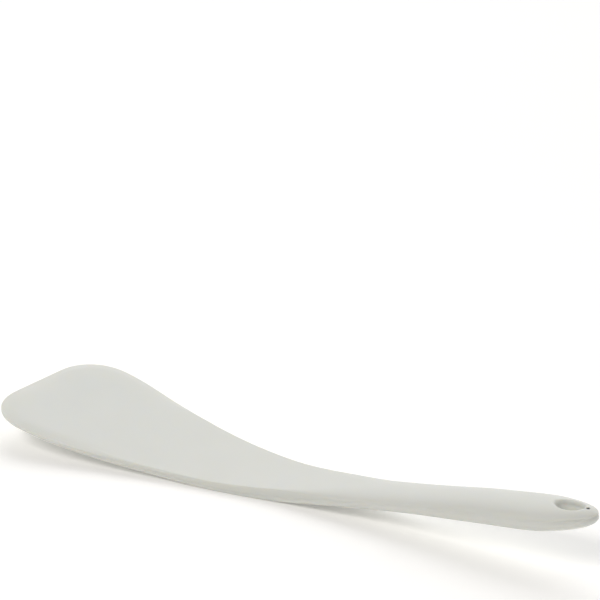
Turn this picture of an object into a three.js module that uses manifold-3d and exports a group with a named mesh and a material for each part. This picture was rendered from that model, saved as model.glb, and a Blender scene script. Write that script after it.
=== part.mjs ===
import Module from 'manifold-3d';
import * as THREE from 'three';
import { mergeVertices } from 'three/addons/utils/BufferGeometryUtils.js';

// Offset spatula: a silicone turner moulded over a nylon handle core and a
// perforated spring-steel blade plate. Millimetres, +Z up, resting on Z = 0.
// The blade points to -X and the handle rises to +X.

const LENGTH = 300;

// Distance from the front edge, half width, height of the underside, thickness.
const STATIONS = [
  [0, 38.5, 16.5, 2.5],
  [30, 39.2, 10.7, 2.8],
  [60, 33.4, 5.4, 3.2],
  [90, 26.6, 1.9, 3.7],
  [120, 21.1, 0.05, 4.5],
  [150, 15.2, 0.35, 6.4],
  [180, 12.9, 4.0, 7.9],
  [215, 11.6, 9.4, 9.5],
  [250, 11.9, 14.4, 11.8],
  [280, 12.2, 19.3, 11.5],
  [300, 10.5, 24.7, 8.2],
];

const FRONT_CORNER = { radius: 23, power: 2.27 };
const TIP = { start: 273.5, power: 2 };

// The flat blade section turns into the oval handle section between start and
// end. Each face then curves over its reach, by a share of the thickness.
const OVAL_ABOVE = { start: 148, end: 200, reach: 12, share: 0.42, power: 2 };
const OVAL_BELOW = { start: 135, end: 200, reach: 12, share: 0.54, power: 2.8 };

// Bevelled lip around the blade: distance from the front edge, width, drop.
const LIP = [
  [0, 6.0, 1.2],
  [38, 6.0, 1.2],
  [50, 5.4, 1.0],
  [62, 4.0, 0.8],
  [80, 0.7, 0.6],
  [OVAL_ABOVE.start, 0.7, 0.6],
];
// The straight bevel turns into a rounded edge between these.
const LIP_END = { start: 50, end: 80 };
const LOWER_EDGE = { width: 1.2, height: 0.5, power: 2 };

const HANG_HOLE = { x: 287.2, halfLength: 6.2, halfWidth: 4 };
const HANG_ROLL = { width: 1.8, drop: 2, power: 2 };
const HANG_DRAFT = 1.2;

// Rays from the front of the rim fan in to the centre line between these, and
// every ray past them runs straight across.
const FAN = { start: 34, end: 66, crowding: 1.6 };

// Points lie closer together in this part of a ray, measured from the rim.
const DENSE_SHARE = 0.75;
const DENSE_OVAL = 9.2;

const SKIN_SIDE = 1.6;
const SKIN_FACE = 1.7;
const SKIN_EYE = 1.1;
const GAP = 0.3;

// The core thins between these to pass under the rolled edge of the hang hole.
const CORE = { start: 162, end: 298.4, thinFrom: 262, thinTo: 279, thinBy: 1.1 };
// A stud of the core stands in the pin hole, a little below its edge.
const PIN_HOLE = { x: 295.2, radius: 1, studDepth: 0.3 };

const PLATE = { start: 14, end: 196, thickness: 0.5, inset: 12, tang: 6, corner: 14 };
const PERFORATION_RADIUS = 3;
const PERFORATIONS = [
  [30, -15], [30, 0], [30, 15],
  [50, -8], [50, 8],
  [70, -12], [70, 0], [70, 12],
  [90, -6], [90, 6],
  [110, 0],
];

// How finely each shape is divided.
const OUTLINE_STEPS = { front: 4, corner: 7, side: 38, tip: 13 };
const EDGE_ROWS = 5;
const FACE_ROWS = 3;
const ROD_STEPS = { along: 15, tip: 9, around: 20 };
const PLATE_STEPS = { corner: 6, along: 28 };
const EYE_SEGMENTS = 32;
const CUTTER_HEIGHT = 60;
const SMALL_HOLE_SEGMENTS = 12;

const QUARTER_TURN = Math.PI / 2;

// Smooth curve through one column of a table of stations.
function curve(table, column) {
  const knots = table.map((row) => row[0]);
  const values = table.map((row) => row[column]);
  const last = knots.length - 1;
  const rise = (i) => (values[i + 1] - values[i]) / (knots[i + 1] - knots[i]);
  const slopes = knots.map((knot, i) => {
    if (i === 0 || i === last) return 0;
    const before = knot - knots[i - 1];
    const after = knots[i + 1] - knot;
    return (rise(i - 1) * after + rise(i) * before) / (before + after);
  });
  slopes[0] = 2 * rise(0) - slopes[1];
  slopes[last] = 2 * rise(last - 1) - slopes[last - 1];
  return (x) => {
    const next = knots.findIndex((knot) => knot >= x);
    const i = Math.max((next < 0 ? last : next) - 1, 0);
    const span = knots[i + 1] - knots[i];
    const t = (x - knots[i]) / span;
    const from = (2 * t ** 3 - 3 * t ** 2 + 1) * values[i];
    const leave = (t ** 3 - 2 * t ** 2 + t) * span * slopes[i];
    const to = (3 * t ** 2 - 2 * t ** 3) * values[i + 1];
    const arrive = (t ** 3 - t ** 2) * span * slopes[i + 1];
    return from + leave + to + arrive;
  };
}

// Straight-line reading of one column of a table, held level past its ends.
function track(table, column) {
  return (x) => {
    const next = table.findIndex((row) => row[0] >= x);
    if (next === 0) return table[0][column];
    if (next < 0) return table[table.length - 1][column];
    const [from, to] = [table[next - 1], table[next]];
    return THREE.MathUtils.mapLinear(x, from[0], to[0], from[column], to[column]);
  };
}

const sideLine = curve(STATIONS, 1);
const underside = curve(STATIONS, 2);
const thickness = curve(STATIONS, 3);
const lipWidth = track(LIP, 1);
const lipDrop = track(LIP, 2);
const ovalness = (x, face) => THREE.MathUtils.smoothstep(x, face.start, face.end);
const middle = (x) => underside(x) + thickness(x) / 2;

const point = (x, y, z) => new THREE.Vector3(x - LENGTH / 2, y, z);

// Height of a rounded or bevelled edge at a distance in from the rim.
function roundOver(distance, width, height, power) {
  const q = Math.max(1 - distance / width, 0);
  return height * (1 - (1 - q ** power) ** (1 / power));
}

// Half width of the outline, rounded off at the tip of the handle.
function halfWidth(x, tip) {
  const along = Math.max((x - TIP.start) / (tip - TIP.start), 0);
  return sideLine(x) * Math.max(1 - along ** TIP.power, 0) ** (1 / TIP.power);
}

// One side of the outline, from the middle of the front edge to the tip.
function halfOutline() {
  const outline = [];
  const { radius, power } = FRONT_CORNER;
  const straight = sideLine(0) - radius;
  const { front, corner, side, tip } = OUTLINE_STEPS;
  for (let i = 0; i < front; i += 1) outline.push([0, (straight * i) / front]);
  for (let i = 0; i < corner; i += 1) {
    const angle = QUARTER_TURN * (i / corner);
    const x = radius * (1 - Math.cos(angle) ** (2 / power));
    const y = sideLine(x) - radius + radius * Math.sin(angle) ** (2 / power);
    outline.push([x, y]);
  }
  for (let i = 0; i < side; i += 1) {
    const x = THREE.MathUtils.lerp(radius, TIP.start, i / side);
    outline.push([x, sideLine(x)]);
  }
  for (let i = 0; i < tip; i += 1) {
    const angle = QUARTER_TURN * (i / tip);
    const x = TIP.start + (LENGTH - TIP.start) * Math.sin(angle) ** (2 / TIP.power);
    outline.push([x, halfWidth(x, LENGTH)]);
  }
  outline.push([LENGTH, 0]);
  return outline;
}

// Rays from the outline to the centre line, or to the hang hole near the tip.
function halfRays() {
  const outline = halfOutline();
  const holeStart = HANG_HOLE.x - HANG_HOLE.halfLength;
  let walked = 0;
  const walk = outline.map(([x, y], i) => {
    if (i > 0) walked += Math.hypot(x - outline[i - 1][0], y - outline[i - 1][1]);
    return walked;
  });
  const fanEnd = outline.findIndex(([x]) => x > FAN.end);
  const lastCentre = outline.findIndex(([x]) => x > holeStart) - 1;
  return outline.map(([x, y], i) => {
    const rim = [x, y];
    if (i < fanEnd) {
      const share = (walk[i] / walk[fanEnd]) ** FAN.crowding;
      return { rim, anchor: [THREE.MathUtils.lerp(FAN.start, FAN.end, share), 0] };
    }
    if (i < lastCentre) return { rim, anchor: [x, 0] };
    const share = (walk[i] - walk[lastCentre]) / (walked - walk[lastCentre]);
    const angle = Math.PI * (1 - share);
    const along = HANG_HOLE.x + HANG_HOLE.halfLength * Math.cos(angle);
    return { rim, anchor: [along, HANG_HOLE.halfWidth * Math.sin(angle)], angle };
  });
}

// Distance in the plan view from a point to the edge of the hang hole.
function holeDistance(x, y) {
  const dx = x - HANG_HOLE.x;
  const ratio = Math.hypot(dx / HANG_HOLE.halfLength, y / HANG_HOLE.halfWidth);
  return Math.max(Math.hypot(dx, y) * (1 - 1 / ratio), 0);
}

function holeRoll(x, y) {
  return roundOver(holeDistance(x, y), HANG_ROLL.width, HANG_ROLL.drop, HANG_ROLL.power);
}

function topHeight(x, y, inward) {
  const oval = ovalness(x, OVAL_ABOVE);
  const width = THREE.MathUtils.lerp(lipWidth(x), OVAL_ABOVE.reach, oval);
  const drop = THREE.MathUtils.lerp(lipDrop(x), OVAL_ABOVE.share * thickness(x), oval);
  const rounding = THREE.MathUtils.smoothstep(x, LIP_END.start, LIP_END.end);
  const slabPower = THREE.MathUtils.lerp(1, 2, rounding);
  const power = THREE.MathUtils.lerp(slabPower, OVAL_ABOVE.power, oval);
  const edge = roundOver(inward, width, drop, power);
  return underside(x) + thickness(x) - edge - holeRoll(x, y);
}

function bottomHeight(x, y, inward) {
  const oval = ovalness(x, OVAL_BELOW);
  const width = THREE.MathUtils.lerp(LOWER_EDGE.width, OVAL_BELOW.reach, oval);
  const rise = THREE.MathUtils.lerp(LOWER_EDGE.height, OVAL_BELOW.share * thickness(x), oval);
  const power = THREE.MathUtils.lerp(LOWER_EDGE.power, OVAL_BELOW.power, oval);
  const edge = roundOver(inward, width, rise, power);
  return Math.max(underside(x) + edge + holeRoll(x, y), 0);
}

// Points of one face along a ray, from the rim inwards.
function faceRow(ray, height) {
  const [x, y] = ray.rim;
  const run = Math.hypot(ray.anchor[0] - x, ray.anchor[1] - y);
  const reach = THREE.MathUtils.lerp(lipWidth(x), DENSE_OVAL, ovalness(x, OVAL_BELOW));
  const dense = Math.min(reach, run * DENSE_SHARE);
  const distances = [];
  for (let i = 0; i < EDGE_ROWS; i += 1) {
    distances.push(dense * (1 - Math.cos(QUARTER_TURN * (i / EDGE_ROWS))));
  }
  for (let i = 0; i <= FACE_ROWS; i += 1) {
    distances.push(THREE.MathUtils.lerp(dense, run, i / FACE_ROWS));
  }
  return distances.map((inward) => {
    const px = THREE.MathUtils.lerp(x, ray.anchor[0], inward / run);
    const py = THREE.MathUtils.lerp(y, ray.anchor[1], inward / run);
    return point(px, py, height(px, py, inward));
  });
}

// Point half way down the hang hole, where its drafted wall is narrowest.
function waistPoint(ray, side) {
  if (ray.angle === undefined) return [];
  const x = HANG_HOLE.x + (HANG_HOLE.halfLength - HANG_DRAFT) * Math.cos(ray.angle);
  const y = (HANG_HOLE.halfWidth - HANG_DRAFT) * Math.sin(ray.angle);
  return [point(x, side * y, middle(x))];
}

function mirrored(ray) {
  const flip = ([x, y]) => [x, -y];
  return { ...ray, rim: flip(ray.rim), anchor: flip(ray.anchor) };
}

// Closed mesh from columns of points; hole columns also close on themselves.
function columnsToMesh(columns, faceCount) {
  const triangles = [];
  columns.forEach((column, i) => {
    const beside = columns[(i + 1) % columns.length];
    const closed = column.length > faceCount && beside.length > faceCount;
    const steps = closed ? column.length : faceCount - 1;
    for (let j = 0; j < steps; j += 1) {
      const [a, b] = [column[j], column[(j + 1) % column.length]];
      const [d, c] = [beside[j], beside[(j + 1) % beside.length]];
      triangles.push(a, b, c, a, c, d);
    }
  });
  return new THREE.BufferGeometry().setFromPoints(triangles);
}

function outerMesh() {
  const near = halfRays().map((ray) => ({ ...mirrored(ray), side: -1 }));
  const far = halfRays().map((ray) => ({ ...ray, side: 1 })).slice(1, -1).reverse();
  const columns = [...near, ...far].map((ray) => [
    ...faceRow(ray, topHeight).reverse(),
    ...faceRow(ray, bottomHeight),
    ...waistPoint(ray, ray.side),
  ]);
  const faceCount = 2 * (EDGE_ROWS + FACE_ROWS + 1);
  return columnsToMesh(columns, faceCount);
}

const wasm = await Module();
wasm.setup();

// Solid from a closed three.js mesh, dropping triangles that have no area.
function toSolid(geometry) {
  const bare = geometry.clone();
  bare.deleteAttribute('normal');
  bare.deleteAttribute('uv');
  const merged = mergeVertices(bare, 1e-4);
  const kept = [];
  const { array } = merged.index;
  for (let i = 0; i < array.length; i += 3) {
    const corners = [array[i], array[i + 1], array[i + 2]];
    if (new Set(corners).size === 3) kept.push(...corners);
  }
  return new wasm.Manifold(new wasm.Mesh({
    numProp: 3,
    vertProperties: new Float32Array(merged.attributes.position.array),
    triVerts: new Uint32Array(kept),
  }));
}

function toGeometry(solid) {
  const mesh = solid.getMesh();
  const geometry = new THREE.BufferGeometry();
  geometry.setAttribute('position', new THREE.BufferAttribute(mesh.vertProperties, 3));
  geometry.setIndex(new THREE.BufferAttribute(mesh.triVerts, 1));
  geometry.computeVertexNormals();
  return geometry;
}

// Upright cylinder, or an elliptical one when the two radii differ, that stands
// on Z = 0 and reaches past the top of the handle.
function uprightSolid(x, y, radiusX, radiusY, segments) {
  const geometry = new THREE.CylinderGeometry(1, 1, CUTTER_HEIGHT, segments);
  geometry.rotateX(QUARTER_TURN);
  geometry.scale(radiusX, radiusY, 1);
  geometry.translate(x - LENGTH / 2, y, CUTTER_HEIGHT / 2);
  return toSolid(geometry);
}

// Solid through a run of closed sections that all have the same point count.
function loftSolid(sections) {
  const first = sections[0];
  const last = sections[sections.length - 1];
  const triangles = [];
  for (let i = 1; i + 1 < first.length; i += 1) {
    triangles.push(first[0], first[i + 1], first[i]);
    triangles.push(last[0], last[i], last[i + 1]);
  }
  for (let s = 0; s + 1 < sections.length; s += 1) {
    first.forEach((corner, i) => {
      const next = (i + 1) % first.length;
      const [a, b] = [sections[s][i], sections[s][next]];
      const [d, c] = [sections[s + 1][i], sections[s + 1][next]];
      triangles.push(a, b, c, a, c, d);
    });
  }
  return toSolid(new THREE.BufferGeometry().setFromPoints(triangles));
}

// Oval rod that follows the middle of the handle, ending short of its skin.
function handleRod(shrink) {
  const tip = CORE.end - shrink;
  const start = CORE.start + shrink;
  const stations = [];
  for (let i = 0; i < ROD_STEPS.along; i += 1) {
    stations.push(THREE.MathUtils.lerp(start, TIP.start, i / ROD_STEPS.along));
  }
  for (let i = 0; i < ROD_STEPS.tip; i += 1) {
    const angle = QUARTER_TURN * (i / ROD_STEPS.tip);
    stations.push(TIP.start + (tip - TIP.start) * Math.sin(angle) ** (2 / TIP.power));
  }
  const sections = stations.map((x) => {
    const across = halfWidth(x, tip + SKIN_SIDE + shrink) - SKIN_SIDE - shrink;
    const thinning = THREE.MathUtils.smoothstep(x, CORE.thinFrom, CORE.thinTo);
    const up = thickness(x) / 2 - SKIN_FACE - CORE.thinBy * thinning - shrink;
    const section = [];
    for (let i = 0; i < ROD_STEPS.around; i += 1) {
      const angle = (2 * Math.PI * i) / ROD_STEPS.around;
      const y = across * Math.cos(angle);
      section.push(point(x, y, middle(x) + up * Math.sin(angle)));
    }
    return section;
  });
  return loftSolid(sections);
}

// The eye in the core is cut this much larger than the hang hole.
function eyeSolid(margin) {
  const { x, halfLength, halfWidth: half } = HANG_HOLE;
  return uprightSolid(x, 0, halfLength + margin, half + margin, EYE_SEGMENTS);
}

// Bent strip along the middle of the blade, grown all round by a clearance.
function plateSolid(clearance) {
  const { start, end, inset, tang, corner } = PLATE;
  const front = start - clearance;
  const up = PLATE.thickness / 2 + clearance;
  const stations = [];
  for (let i = 0; i < PLATE_STEPS.corner; i += 1) {
    stations.push(front + corner * (1 - Math.cos(QUARTER_TURN * (i / PLATE_STEPS.corner))));
  }
  for (let i = 0; i <= PLATE_STEPS.along; i += 1) {
    const share = i / PLATE_STEPS.along;
    stations.push(THREE.MathUtils.lerp(front + corner, end + clearance, share));
  }
  const sections = stations.map((x) => {
    const q = Math.max(1 - (x - front) / corner, 0);
    const body = sideLine(x) - inset - corner + corner * Math.sqrt(1 - q ** 2);
    const across = Math.max(body, tang) + clearance;
    const section = [];
    for (const [sy, sz] of [[1, -1], [1, 1], [0, 1], [-1, 1], [-1, -1], [0, -1]]) {
      section.push(point(x, sy * across, middle(x) + sz * up));
    }
    return section;
  });
  return loftSolid(sections);
}

function perforations(radius) {
  return PERFORATIONS.map(([x, y]) => uprightSolid(x, y, radius, radius, SMALL_HOLE_SEGMENTS))
    .reduce((all, hole) => all.add(hole));
}

function siliconeBody() {
  const plateRoom = plateSolid(GAP).subtract(perforations(PERFORATION_RADIUS - GAP));
  const coreRoom = handleRod(0).subtract(eyeSolid(SKIN_EYE));
  const { x, radius } = PIN_HOLE;
  const pinHole = uprightSolid(x, 0, radius, radius, SMALL_HOLE_SEGMENTS);
  const abovePin = pinHole.translate([0, 0, middle(x)]);
  return toSolid(outerMesh()).subtract(plateRoom).subtract(coreRoom).subtract(abovePin);
}

// Stud on the core that keeps a gap to the wall of the pin hole.
function studSolid() {
  const { x, radius, studDepth } = PIN_HOLE;
  const top = topHeight(x, 0, LENGTH - x) - studDepth;
  const geometry = new THREE.CylinderGeometry(
    radius - GAP, radius - GAP, top - middle(x), SMALL_HOLE_SEGMENTS,
  );
  geometry.rotateX(QUARTER_TURN);
  geometry.translate(x - LENGTH / 2, 0, (top + middle(x)) / 2);
  return toSolid(geometry);
}

function handleCore() {
  const rod = handleRod(GAP).add(studSolid());
  return rod.subtract(eyeSolid(SKIN_EYE + GAP)).subtract(plateSolid(GAP));
}

function bladePlate() {
  return plateSolid(0).subtract(perforations(PERFORATION_RADIUS));
}

function siliconeMaterial() {
  return new THREE.MeshStandardMaterial({ color: 0xd6d5cf, roughness: 0.62, metalness: 0 });
}

function nylonMaterial() {
  return new THREE.MeshStandardMaterial({ color: 0x3a3a3c, roughness: 0.55, metalness: 0 });
}

function springSteelMaterial() {
  return new THREE.MeshStandardMaterial({ color: 0xb9bcc0, roughness: 0.35, metalness: 1 });
}

function part(name, solid, material) {
  const mesh = new THREE.Mesh(toGeometry(solid), material);
  mesh.name = name;
  return mesh;
}

const spatula = new THREE.Group();
spatula.name = 'offset_spatula';
spatula.add(part('silicone_body', siliconeBody(), siliconeMaterial()));

const insert = new THREE.Group();
insert.name = 'stiffening_insert';
insert.add(part('handle_core', handleCore(), nylonMaterial()));
insert.add(part('blade_plate', bladePlate(), springSteelMaterial()));
spatula.add(insert);

export default spatula;
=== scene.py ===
import math

import bmesh
import bpy
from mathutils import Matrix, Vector


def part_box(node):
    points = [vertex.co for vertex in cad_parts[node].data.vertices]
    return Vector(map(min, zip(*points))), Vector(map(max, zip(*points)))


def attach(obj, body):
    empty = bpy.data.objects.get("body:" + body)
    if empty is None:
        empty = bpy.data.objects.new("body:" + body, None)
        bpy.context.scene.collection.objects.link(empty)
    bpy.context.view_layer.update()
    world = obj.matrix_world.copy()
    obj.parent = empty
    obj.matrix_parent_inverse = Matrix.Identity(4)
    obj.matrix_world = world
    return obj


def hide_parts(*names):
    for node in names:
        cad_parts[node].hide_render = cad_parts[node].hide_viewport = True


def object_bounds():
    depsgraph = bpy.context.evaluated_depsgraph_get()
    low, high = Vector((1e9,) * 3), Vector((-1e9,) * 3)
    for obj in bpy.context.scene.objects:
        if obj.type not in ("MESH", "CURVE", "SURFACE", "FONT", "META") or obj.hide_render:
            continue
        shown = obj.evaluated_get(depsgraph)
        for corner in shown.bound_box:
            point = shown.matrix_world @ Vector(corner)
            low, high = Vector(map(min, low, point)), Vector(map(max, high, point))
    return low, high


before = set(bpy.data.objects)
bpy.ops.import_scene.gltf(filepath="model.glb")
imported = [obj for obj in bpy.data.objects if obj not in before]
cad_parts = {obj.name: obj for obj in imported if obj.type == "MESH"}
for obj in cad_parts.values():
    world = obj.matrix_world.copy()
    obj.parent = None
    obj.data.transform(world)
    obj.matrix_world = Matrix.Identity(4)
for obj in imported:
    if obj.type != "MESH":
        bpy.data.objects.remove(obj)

# A silicone turner lying on a pale studio floor. The silicone skin is made
# here as a fine mesh round the two CAD inserts, which stay and get their own
# materials. Lengths of the tool are in millimetres until `place` turns them
# into metres, and x runs from the front edge of the blade to the handle's tip.
# The floor and the places of lights and camera are in metres.

MM = 0.001
WELD = 0.001 * MM
CAD_LOW, CAD_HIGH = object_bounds()
SKIN_LOW, SKIN_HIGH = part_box("silicone_body")
LENGTH = (SKIN_HIGH.x - SKIN_LOW.x) / MM

# Distance from the front edge, half width, height of the underside, thickness.
STATIONS = (
    (0, 38.5, 16.5, 2.5),
    (30, 39.2, 10.7, 2.8),
    (60, 33.4, 5.4, 3.2),
    (90, 26.6, 1.9, 3.7),
    (120, 21.1, 0.05, 4.5),
    (150, 15.2, 0.35, 6.4),
    (180, 12.9, 4.0, 7.9),
    (215, 11.6, 9.4, 9.5),
    (250, 11.9, 14.4, 11.8),
    (280, 12.2, 19.3, 11.5),
    (300, 10.5, 24.7, 8.2),
)

CORNER_RADIUS, CORNER_POWER = 23, 2.27
TIP_START, TIP_POWER = 273.5, 2

# The slab of the blade turns into the oval of the handle between start and
# end. Each face curves over its reach, by a share of the thickness.
OVAL_ABOVE = {"start": 148, "end": 200, "reach": 12.0, "share": 0.42, "power": 2.0}
OVAL_BELOW = {"start": 135, "end": 200, "reach": 12.0, "share": 0.54, "power": 2.8}

# Bevelled lip round the blade: distance from the front edge, width, drop.
LIP = (
    (0, 6.0, 1.2),
    (38, 6.0, 1.2),
    (50, 5.4, 1.0),
    (62, 4.0, 0.8),
    (80, 0.7, 0.6),
    (OVAL_ABOVE["start"], 0.7, 0.6),
)
LIP_END = {"start": 50, "end": 80}
LIP_CREASE = {"depth": 0.12, "half_width": 0.7, "start": 62, "end": 78}
UPPER_EDGE = {"width": 0.3, "height": 0.22}
LOWER_EDGE = {"width": 1.2, "height": 0.5}

HOLE_X, HOLE_HALF_LENGTH, HOLE_HALF_WIDTH = 287.2, 6.2, 4.0
HOLE_ROLL = {"width": 1.8, "height": 2.0}
# Wall of the hang hole: share of the way down, how far it stands in.
HOLE_WALL = (
    (0.04, 0.12),
    (0.08, 0.36),
    (0.14, 0.72),
    (0.22, 1.02),
    (0.34, 1.16),
    (0.50, 1.20),
    (0.66, 1.16),
    (0.78, 1.02),
    (0.86, 0.72),
    (0.92, 0.36),
    (0.96, 0.12),
)

# Parting line of the mould, a share of the way up the rim. It opens into a
# valley at the tip.
PARTING = {"share": 0.38, "half_height": 0.2, "depth": 0.11, "power": 1.5}
PARTING_ROWS = (1, 0.6, 0.25, 0, -0.25, -0.6, -1)
VALLEY = {"half_height": 0.8, "depth": 0.45, "start": 272, "end": 297}

PIN_X, PIN_RADIUS, PIN_CHAMFER, PIN_SIDES = 295.2, 1.0, 0.1, 32
INSERT_GAP = 0.3

# The skin is a fan of rays that run in from the outline. Those from the front
# meet the centre line between start and end.
OUTLINE_STEPS = {"front": 10, "corner": 26, "side": 150, "tip": 44}
FAN = {"start": 34, "end": 66, "crowding": 1.6}

# Each ray has close rows next to the rim, as far in as the lip (by a factor of
# its width) or the oval's reach, but no more than a share of the ray. The rows
# that go on to the centre line crowd in at the hang hole.
EDGE = {"rows": 22, "lip": 1.25, "oval": 9.2, "share": 0.72, "crowding": 1.35}
FACE_ROWS, HOLE_CROWDING = 10, 2

CAMERA = {"azimuth": 35.18, "elevation": 20.21, "distance": 1.0, "lens": 135.1, "sensor": 36}
AIM_ACROSS, AIM_ABOVE = 0.0022, 0.0849
SCREEN = {"azimuth": 180, "elevation": 10, "dim": 0.21, "bright": 1.36}
BACK_LIGHT = {"azimuth": 215, "elevation": 50, "distance": 2.5, "size": 2.1, "power": 15.5}
FRONT_LIGHT = {"azimuth": 350, "elevation": 45, "distance": 2.5, "size": 1.0, "power": 28}
FLOOR = {"radius": 4.0, "sides": 96, "glow": 0.165}
SHARP_ANGLE = 40


def lerp(start, end, share):
    return start + (end - start) * share


def smoothstep(x, start, end):
    share = min(max((x - start) / (end - start), 0), 1)
    return share * share * (3 - 2 * share)


def curve(table, column):
    """Smooth curve through one column of a table of stations."""
    knots = [row[0] for row in table]
    values = [row[column] for row in table]
    last = len(knots) - 1
    rises = [(values[i + 1] - values[i]) / (knots[i + 1] - knots[i]) for i in range(last)]
    slopes = [0.0] * len(knots)
    for i in range(1, last):
        before, after = knots[i] - knots[i - 1], knots[i + 1] - knots[i]
        slopes[i] = (rises[i - 1] * after + rises[i] * before) / (before + after)
    slopes[0] = 2 * rises[0] - slopes[1]
    slopes[last] = 2 * rises[-1] - slopes[last - 1]

    def read(x):
        i = next((k for k in range(last) if knots[k + 1] >= x), last - 1)
        span = knots[i + 1] - knots[i]
        t = (x - knots[i]) / span
        leave = (2 * t**3 - 3 * t**2 + 1) * values[i] + (t**3 - 2 * t**2 + t) * span * slopes[i]
        arrive = (3 * t**2 - 2 * t**3) * values[i + 1] + (t**3 - t**2) * span * slopes[i + 1]
        return leave + arrive

    return read


def track(table, column):
    """Straight-line reading of one column of a table, level past its ends."""

    def read(x):
        if x <= table[0][0]:
            return table[0][column]
        for before, after in zip(table, table[1:]):
            if x <= after[0]:
                share = (x - before[0]) / (after[0] - before[0])
                return lerp(before[column], after[column], share)
        return table[-1][column]

    return read


side_line = curve(STATIONS, 1)
underside = curve(STATIONS, 2)
thickness = curve(STATIONS, 3)
lip_width = track(LIP, 1)
lip_drop = track(LIP, 2)


def place(x, y, z):
    return Vector((SKIN_LOW.x + x * MM, y * MM, SKIN_LOW.z + z * MM))


def ovalness(x, face):
    return smoothstep(x, face["start"], face["end"])


def round_over(distance, width, height, power):
    """Height that a rounded or bevelled edge takes off, a distance in from it."""
    q = max(1 - distance / width, 0)
    return height * (1 - (1 - q**power) ** (1 / power))


def half_width(x):
    along = max((x - TIP_START) / (LENGTH - TIP_START), 0)
    return side_line(x) * max(1 - along**TIP_POWER, 0) ** (1 / TIP_POWER)


def half_outline():
    """One side of the outline, from the middle of the front edge to the tip."""
    steps = OUTLINE_STEPS
    straight = side_line(0) - CORNER_RADIUS
    outline = [(0, straight * i / steps["front"]) for i in range(steps["front"])]
    for i in range(steps["corner"]):
        angle = math.pi / 2 * i / steps["corner"]
        x = CORNER_RADIUS * (1 - math.cos(angle) ** (2 / CORNER_POWER))
        out = CORNER_RADIUS * math.sin(angle) ** (2 / CORNER_POWER)
        outline.append((x, side_line(x) - CORNER_RADIUS + out))
    for i in range(steps["side"]):
        x = lerp(CORNER_RADIUS, TIP_START, i / steps["side"])
        outline.append((x, side_line(x)))
    for i in range(steps["tip"]):
        angle = math.pi / 2 * i / steps["tip"]
        x = lerp(TIP_START, LENGTH, math.sin(angle) ** (2 / TIP_POWER))
        outline.append((x, half_width(x)))
    outline.append((LENGTH, 0))
    return outline


def half_rays():
    """Rays from the outline to the centre line, or to the hang hole."""
    outline = half_outline()
    walk = [0.0]
    for before, after in zip(outline, outline[1:]):
        walk.append(walk[-1] + math.dist(before, after))
    fan_end = next(i for i, rim in enumerate(outline) if rim[0] > FAN["end"])
    hole_start = HOLE_X - HOLE_HALF_LENGTH
    last_centre = next(i for i, rim in enumerate(outline) if rim[0] > hole_start) - 1
    rays = []
    for i, rim in enumerate(outline):
        if i < fan_end:
            share = (walk[i] / walk[fan_end]) ** FAN["crowding"]
            rays.append((rim, (lerp(FAN["start"], FAN["end"], share), 0), None))
        elif i < last_centre:
            rays.append((rim, (rim[0], 0), None))
        else:
            share = (walk[i] - walk[last_centre]) / (walk[-1] - walk[last_centre])
            angle = math.pi * (1 - share)
            x = HOLE_X + HOLE_HALF_LENGTH * math.cos(angle)
            rays.append((rim, (x, HOLE_HALF_WIDTH * math.sin(angle)), angle))
    return rays


def hole_roll(x, y):
    """Height that the rolled edge of the hang hole takes off each face."""
    dx = x - HOLE_X
    ratio = math.hypot(dx / HOLE_HALF_LENGTH, y / HOLE_HALF_WIDTH)
    if ratio <= 1:
        return HOLE_ROLL["height"]
    distance = math.hypot(dx, y) * (1 - 1 / ratio)
    return round_over(distance, HOLE_ROLL["width"], HOLE_ROLL["height"], 2)


def lip_crease(x, inward):
    """Shallow line where the lip meets the flat of the blade."""
    fade = 1 - smoothstep(x, LIP_CREASE["start"], LIP_CREASE["end"])
    away = (inward - lip_width(x)) / LIP_CREASE["half_width"]
    return LIP_CREASE["depth"] * fade * math.exp(-away * away)


def top_height(x, y, inward):
    oval = ovalness(x, OVAL_ABOVE)
    width = lerp(lip_width(x), OVAL_ABOVE["reach"], oval)
    drop = lerp(lip_drop(x), OVAL_ABOVE["share"] * thickness(x), oval)
    slab_power = lerp(1, 2, smoothstep(x, LIP_END["start"], LIP_END["end"]))
    edge = round_over(inward, width, drop, lerp(slab_power, OVAL_ABOVE["power"], oval))
    nose = round_over(inward, UPPER_EDGE["width"], UPPER_EDGE["height"] * (1 - oval), 2)
    taken = edge + nose + hole_roll(x, y) + lip_crease(x, inward)
    return underside(x) + thickness(x) - taken


def bottom_height(x, y, inward):
    oval = ovalness(x, OVAL_BELOW)
    width = lerp(LOWER_EDGE["width"], OVAL_BELOW["reach"], oval)
    rise = lerp(LOWER_EDGE["height"], OVAL_BELOW["share"] * thickness(x), oval)
    edge = round_over(inward, width, rise, lerp(2, OVAL_BELOW["power"], oval))
    return max(underside(x) + edge + hole_roll(x, y), 0)


def face_distances(ray):
    """Distances in from the rim, close together near the rim and the hole."""
    (x, y), anchor, angle = ray
    run = math.dist((x, y), anchor)
    reach = lerp(lip_width(x) * EDGE["lip"], EDGE["oval"], ovalness(x, OVAL_BELOW))
    dense = min(reach, run * EDGE["share"])
    shares = [(i / EDGE["rows"]) ** EDGE["crowding"] for i in range(EDGE["rows"])]
    distances = [dense * (1 - math.cos(math.pi / 2 * share)) for share in shares]
    for i in range(FACE_ROWS + 1):
        share = i / FACE_ROWS
        if angle is not None:
            share = 1 - (1 - share) ** HOLE_CROWDING
        distances.append(lerp(dense, run, share))
    return distances, run


def valley(x, away):
    """How far the rim is drawn in, a height away from the parting line."""
    depth = VALLEY["depth"] * smoothstep(x, VALLEY["start"], VALLEY["end"])
    return depth * math.exp(-((away / VALLEY["half_height"]) ** 2))


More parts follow.
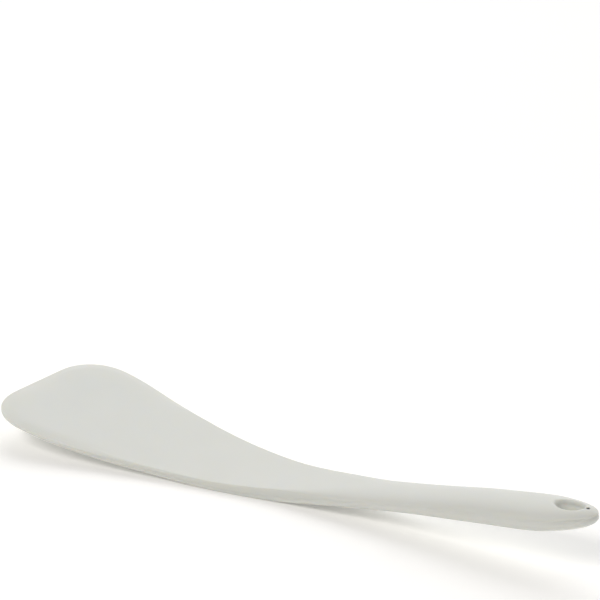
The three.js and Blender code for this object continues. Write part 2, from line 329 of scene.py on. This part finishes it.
def column(ray, side):
    """Closed run of points: top face, rim, bottom face and hole wall."""
    (x, y), anchor, angle = ray
    distances, run = face_distances(ray)
    rim_top, rim_bottom = top_height(x, y, 0), bottom_height(x, y, 0)
    parting = lerp(rim_bottom, rim_top, PARTING["share"])

    def at(inward, z, pull=0.0):
        share = min((inward + pull) / run, 1)
        return place(lerp(x, anchor[0], share), side * lerp(y, anchor[1], share), z)

    def face(height):
        points = []
        for inward in distances:
            share = inward / run
            z = height(lerp(x, anchor[0], share), lerp(y, anchor[1], share), inward)
            points.append(at(inward, z, valley(x, z - parting) * (1 - share) ** 2))
        return points

    half = min(PARTING["half_height"], PARTING["share"] * (rim_top - rim_bottom))
    rim = []
    for share in PARTING_ROWS:
        groove = PARTING["depth"] * max(1 - share * share, 0) ** PARTING["power"]
        z = parting + half * share
        rim.append(at(0, z, groove + valley(x, z - parting)))

    wall = []
    if angle is not None:
        high, low = top_height(*anchor, run), bottom_height(*anchor, run)
        for down, inset in HOLE_WALL:
            along = HOLE_X + (HOLE_HALF_LENGTH - inset) * math.cos(angle)
            across = (HOLE_HALF_WIDTH - inset) * math.sin(angle)
            wall.append(place(along, side * across, lerp(high, low, down)))
    return face(top_height)[::-1] + rim + face(bottom_height) + wall[::-1]


def mesh_object(name, points, faces):
    mesh = bpy.data.meshes.new(name)
    mesh.from_pydata(points, [], faces)
    made = bmesh.new()
    made.from_mesh(mesh)
    bmesh.ops.remove_doubles(made, verts=made.verts, dist=WELD)
    bmesh.ops.recalc_face_normals(made, faces=made.faces)
    made.to_mesh(mesh)
    made.free()
    piece = bpy.data.objects.new(name, mesh)
    bpy.context.scene.collection.objects.link(piece)
    return piece


def outer_skin():
    """The whole outside of the silicone as one closed mesh."""
    rays = half_rays()
    near = [(ray, -1) for ray in rays]
    far = [(ray, 1) for ray in rays[-2:0:-1]]
    columns = [column(ray, side) for ray, side in near + far]
    open_length = min(len(points) for points in columns)
    points, starts, faces = [], [], []
    for run in columns:
        starts.append(len(points))
        points.extend(run)
    for i, run in enumerate(columns):
        beside = (i + 1) % len(columns)
        closed = len(run) > open_length and len(columns[beside]) > open_length
        rows = len(run) if closed else open_length - 1
        for j in range(rows):
            after = (j + 1) % len(run)
            faces.append(
                (starts[i] + j, starts[i] + after, starts[beside] + after, starts[beside] + j)
            )
    widest, tallest = max(p.y for p in points), max(p.z for p in points)
    for p in points:
        p.y *= min(SKIN_HIGH.y / widest, 1)
        p.z *= min(SKIN_HIGH.z / tallest, 1)
    return mesh_object("silicone_skin", points, faces)


def grown_copy(node, margin):
    """A copy of a CAD node with each face moved out by a margin."""
    shape = bmesh.new()
    shape.from_mesh(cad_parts[node].data)
    bmesh.ops.remove_doubles(shape, verts=shape.verts, dist=WELD)
    shape.normal_update()
    moves = [vert.normal * vert.calc_shell_factor() * margin * MM for vert in shape.verts]
    for vert, move in zip(shape.verts, moves):
        vert.co += move
    mesh = bpy.data.meshes.new(node + "_room")
    shape.to_mesh(mesh)
    shape.free()
    room = bpy.data.objects.new(node + "_room", mesh)
    bpy.context.scene.collection.objects.link(room)
    return room


def pin_cutter():
    """Upright pin hole with a small chamfer, from the skin down to the core."""
    top = top_height(PIN_X, 0, LENGTH - PIN_X)
    core = underside(PIN_X) + thickness(PIN_X) / 2
    profile = (
        (PIN_RADIUS + 2 * PIN_CHAMFER, top + PIN_CHAMFER),
        (PIN_RADIUS, top - PIN_CHAMFER),
        (PIN_RADIUS, core),
    )
    points, faces = [], []
    for radius, z in profile:
        for i in range(PIN_SIDES):
            angle = 2 * math.pi * i / PIN_SIDES
            points.append(place(PIN_X + radius * math.cos(angle), radius * math.sin(angle), z))
    last_ring = (len(profile) - 1) * PIN_SIDES
    for start in range(0, last_ring, PIN_SIDES):
        for i in range(PIN_SIDES):
            here, beside = start + i, start + (i + 1) % PIN_SIDES
            faces.append((here, beside, beside + PIN_SIDES, here + PIN_SIDES))
    faces.append(tuple(range(PIN_SIDES)))
    faces.append(tuple(range(last_ring, len(points))))
    return mesh_object("pin_cutter", points, faces)


def cut(piece, cutter):
    """Takes the cutter out of the piece for good."""
    step = piece.modifiers.new("cut", "BOOLEAN")
    step.operation, step.solver, step.object = "DIFFERENCE", "EXACT", cutter
    bpy.context.view_layer.update()
    ready = piece.evaluated_get(bpy.context.evaluated_depsgraph_get())
    mesh = bpy.data.meshes.new_from_object(ready)
    piece.modifiers.clear()
    spent = piece.data
    piece.data = mesh
    bpy.data.meshes.remove(spent)
    bpy.data.objects.remove(cutter)


def noise(nodes, links, vector, scale, detail):
    texture = nodes.new("ShaderNodeTexNoise")
    texture.inputs["Scale"].default_value = scale
    texture.inputs["Detail"].default_value = detail
    links.new(vector, texture.inputs["Vector"])
    return texture.outputs["Fac"]


def spread(nodes, links, value, low, high):
    """Stretches the middle of a noise to a range."""
    mapped = nodes.new("ShaderNodeMapRange")
    mapped.inputs["From Min"].default_value = 0.3
    mapped.inputs["From Max"].default_value = 0.7
    mapped.inputs["To Min"].default_value = low
    mapped.inputs["To Max"].default_value = high
    links.new(value, mapped.inputs["Value"])
    return mapped.outputs["Result"]


def bump(nodes, links, height, distance, strength, before=None):
    relief = nodes.new("ShaderNodeBump")
    relief.inputs["Distance"].default_value = distance
    relief.inputs["Strength"].default_value = strength
    links.new(height, relief.inputs["Height"])
    if before is not None:
        links.new(before, relief.inputs["Normal"])
    return relief.outputs["Normal"]


def two_colours(nodes, links, value, low, high):
    ramp = nodes.new("ShaderNodeValToRGB")
    ramp.color_ramp.elements[0].color = (*low, 1)
    ramp.color_ramp.elements[1].color = (*high, 1)
    links.new(value, ramp.inputs["Fac"])
    return ramp.outputs["Color"]


def new_material(name):
    material = bpy.data.materials.new(name)
    material.use_nodes = True
    nodes, links = material.node_tree.nodes, material.node_tree.links
    shader = nodes["Principled BSDF"]
    where = nodes.new("ShaderNodeTexCoord").outputs["Object"]
    return material, nodes, links, shader, where


def silicone_material():
    material, nodes, links, shader, where = new_material("moulded_silicone")
    clouds = noise(nodes, links, where, scale=22, detail=3)
    shade = spread(nodes, links, clouds, low=0, high=1)
    low, high = (0.642, 0.650, 0.610), (0.650, 0.658, 0.618)
    links.new(two_colours(nodes, links, shade, low, high), shader.inputs["Base Color"])
    patches = noise(nodes, links, where, scale=60, detail=4)
    links.new(spread(nodes, links, patches, low=0.5, high=0.6), shader.inputs["Roughness"])
    ripples = noise(nodes, links, where, scale=120, detail=2)
    relief = bump(nodes, links, ripples, distance=0.0002, strength=0.12)
    grain = noise(nodes, links, where, scale=2600, detail=2)
    relief = bump(nodes, links, grain, distance=0.00003, strength=0.25, before=relief)
    links.new(relief, shader.inputs["Normal"])
    shader.inputs["Subsurface Weight"].default_value = 0.6
    shader.inputs["Subsurface Radius"].default_value = (1.0, 0.85, 0.6)
    shader.inputs["Subsurface Scale"].default_value = 0.002
    shader.inputs["IOR"].default_value = 1.41
    return material


def nylon_material():
    material, nodes, links, shader, where = new_material("glass_filled_nylon")
    flecks = noise(nodes, links, where, scale=1500, detail=4)
    shade = spread(nodes, links, flecks, low=0, high=1)
    low, high = (0.025, 0.025, 0.027), (0.06, 0.06, 0.063)
    links.new(two_colours(nodes, links, shade, low, high), shader.inputs["Base Color"])
    links.new(spread(nodes, links, flecks, low=0.45, high=0.7), shader.inputs["Roughness"])
    relief = bump(nodes, links, flecks, distance=0.00005, strength=0.3)
    links.new(relief, shader.inputs["Normal"])
    return material


def spring_steel_material():
    material, nodes, links, shader, where = new_material("spring_steel")
    stretch = nodes.new("ShaderNodeMapping")
    stretch.inputs["Scale"].default_value = (1, 60, 60)
    links.new(where, stretch.inputs["Vector"])
    streaks = noise(nodes, links, stretch.outputs["Vector"], scale=90, detail=5)
    shade = spread(nodes, links, streaks, low=0, high=1)
    low, high = (0.42, 0.43, 0.45), (0.56, 0.57, 0.59)
    links.new(two_colours(nodes, links, shade, low, high), shader.inputs["Base Color"])
    links.new(spread(nodes, links, streaks, low=0.28, high=0.42), shader.inputs["Roughness"])
    relief = bump(nodes, links, streaks, distance=0.00002, strength=0.3)
    links.new(relief, shader.inputs["Normal"])
    shader.inputs["Metallic"].default_value = 1
    return material


def floor_material():
    material, nodes, links, shader, where = new_material("studio_floor")
    clouds = noise(nodes, links, where, scale=3, detail=2)
    shade = spread(nodes, links, clouds, low=0, high=1)
    low, high = (0.918, 0.911, 0.895), (0.928, 0.921, 0.905)
    links.new(two_colours(nodes, links, shade, low, high), shader.inputs["Base Color"])
    shader.inputs["Roughness"].default_value = 0.9
    shader.inputs["Specular IOR Level"].default_value = 0.1
    shader.inputs["Emission Color"].default_value = (0.925, 0.91, 0.89, 1)
    shader.inputs["Emission Strength"].default_value = FLOOR["glow"]
    return material


def dress(piece, material):
    piece.data.materials.clear()
    piece.data.materials.append(material)


def build_skin():
    skin = outer_skin()
    for node in ("handle_core", "blade_plate"):
        cut(skin, grown_copy(node, INSERT_GAP))
    cut(skin, pin_cutter())
    skin.name = "silicone_skin"
    dress(skin, silicone_material())
    for polygon in skin.data.polygons:
        polygon.use_smooth = True
    skin.data.set_sharp_from_angle(angle=math.radians(SHARP_ANGLE))
    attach(skin, "root")
    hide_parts("silicone_body")


def finish_inserts():
    for node, material in (
        ("handle_core", nylon_material()),
        ("blade_plate", spring_steel_material()),
    ):
        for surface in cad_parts[node].material_slots:
            surface.material = material


def build_floor():
    shape = bmesh.new()
    bmesh.ops.create_circle(
        shape, cap_ends=True, segments=FLOOR["sides"], radius=FLOOR["radius"]
    )
    mesh = bpy.data.meshes.new("studio_floor")
    shape.to_mesh(mesh)
    shape.free()
    floor = bpy.data.objects.new("studio_floor", mesh)
    floor.location.z = CAD_LOW.z
    bpy.context.scene.collection.objects.link(floor)
    dress(floor, floor_material())


def direction(azimuth, elevation):
    """Unit vector from the object towards a viewer or a light."""
    turn, rise = math.radians(azimuth), math.radians(elevation)
    flat = math.cos(rise)
    return Vector((math.sin(turn) * flat, -math.cos(turn) * flat, math.sin(rise)))


def softbox(name, colour, setting):
    lamp = bpy.data.lights.new(name, "AREA")
    lamp.color = colour
    lamp.shape, lamp.size, lamp.energy = "DISK", setting["size"], setting["power"]
    light = bpy.data.objects.new(name, lamp)
    towards = direction(setting["azimuth"], setting["elevation"])
    light.location = towards * setting["distance"]
    light.rotation_mode = "QUATERNION"
    light.rotation_quaternion = (-towards).to_track_quat("-Z", "Y")
    bpy.context.scene.collection.objects.link(light)


def build_sky():
    """Dim white room that grows bright towards a wide screen behind the object."""
    world = bpy.data.worlds.new("studio_sky")
    world.use_nodes = True
    nodes, links = world.node_tree.nodes, world.node_tree.links
    sky = nodes["Background"]
    sky.inputs["Color"].default_value = (1, 1, 1, 1)
    facing = nodes.new("ShaderNodeVectorMath")
    facing.operation = "DOT_PRODUCT"
    facing.inputs[1].default_value = direction(SCREEN["azimuth"], SCREEN["elevation"])
    links.new(nodes.new("ShaderNodeTexCoord").outputs["Generated"], facing.inputs[0])
    glow = nodes.new("ShaderNodeMapRange")
    glow.inputs["To Min"].default_value = SCREEN["dim"]
    glow.inputs["To Max"].default_value = SCREEN["bright"]
    links.new(facing.outputs["Value"], glow.inputs["Value"])
    links.new(glow.outputs["Result"], sky.inputs["Strength"])
    bpy.context.scene.world = world


def build_lights():
    build_sky()
    softbox("back_softbox", (0.98, 0.99, 1.0), BACK_LIGHT)
    softbox("front_softbox", (1.0, 0.975, 0.96), FRONT_LIGHT)


def build_camera():
    back = direction(CAMERA["azimuth"], CAMERA["elevation"])
    turn = math.radians(CAMERA["azimuth"])
    across = Vector((math.cos(turn), math.sin(turn), 0))
    above = back.cross(across)
    camera = bpy.data.objects.new("camera", bpy.data.cameras.new("camera"))
    camera.data.lens, camera.data.sensor_width = CAMERA["lens"], CAMERA["sensor"]
    camera.location = across * AIM_ACROSS + above * AIM_ABOVE + back * CAMERA["distance"]
    camera.rotation_mode = "QUATERNION"
    camera.rotation_quaternion = (-back).to_track_quat("-Z", "Y")
    bpy.context.scene.collection.objects.link(camera)
    bpy.context.scene.camera = camera


build_camera()
build_lights()
build_floor()
build_skin()
finish_inserts()
bpy.context.scene.view_settings.view_transform = "Standard"
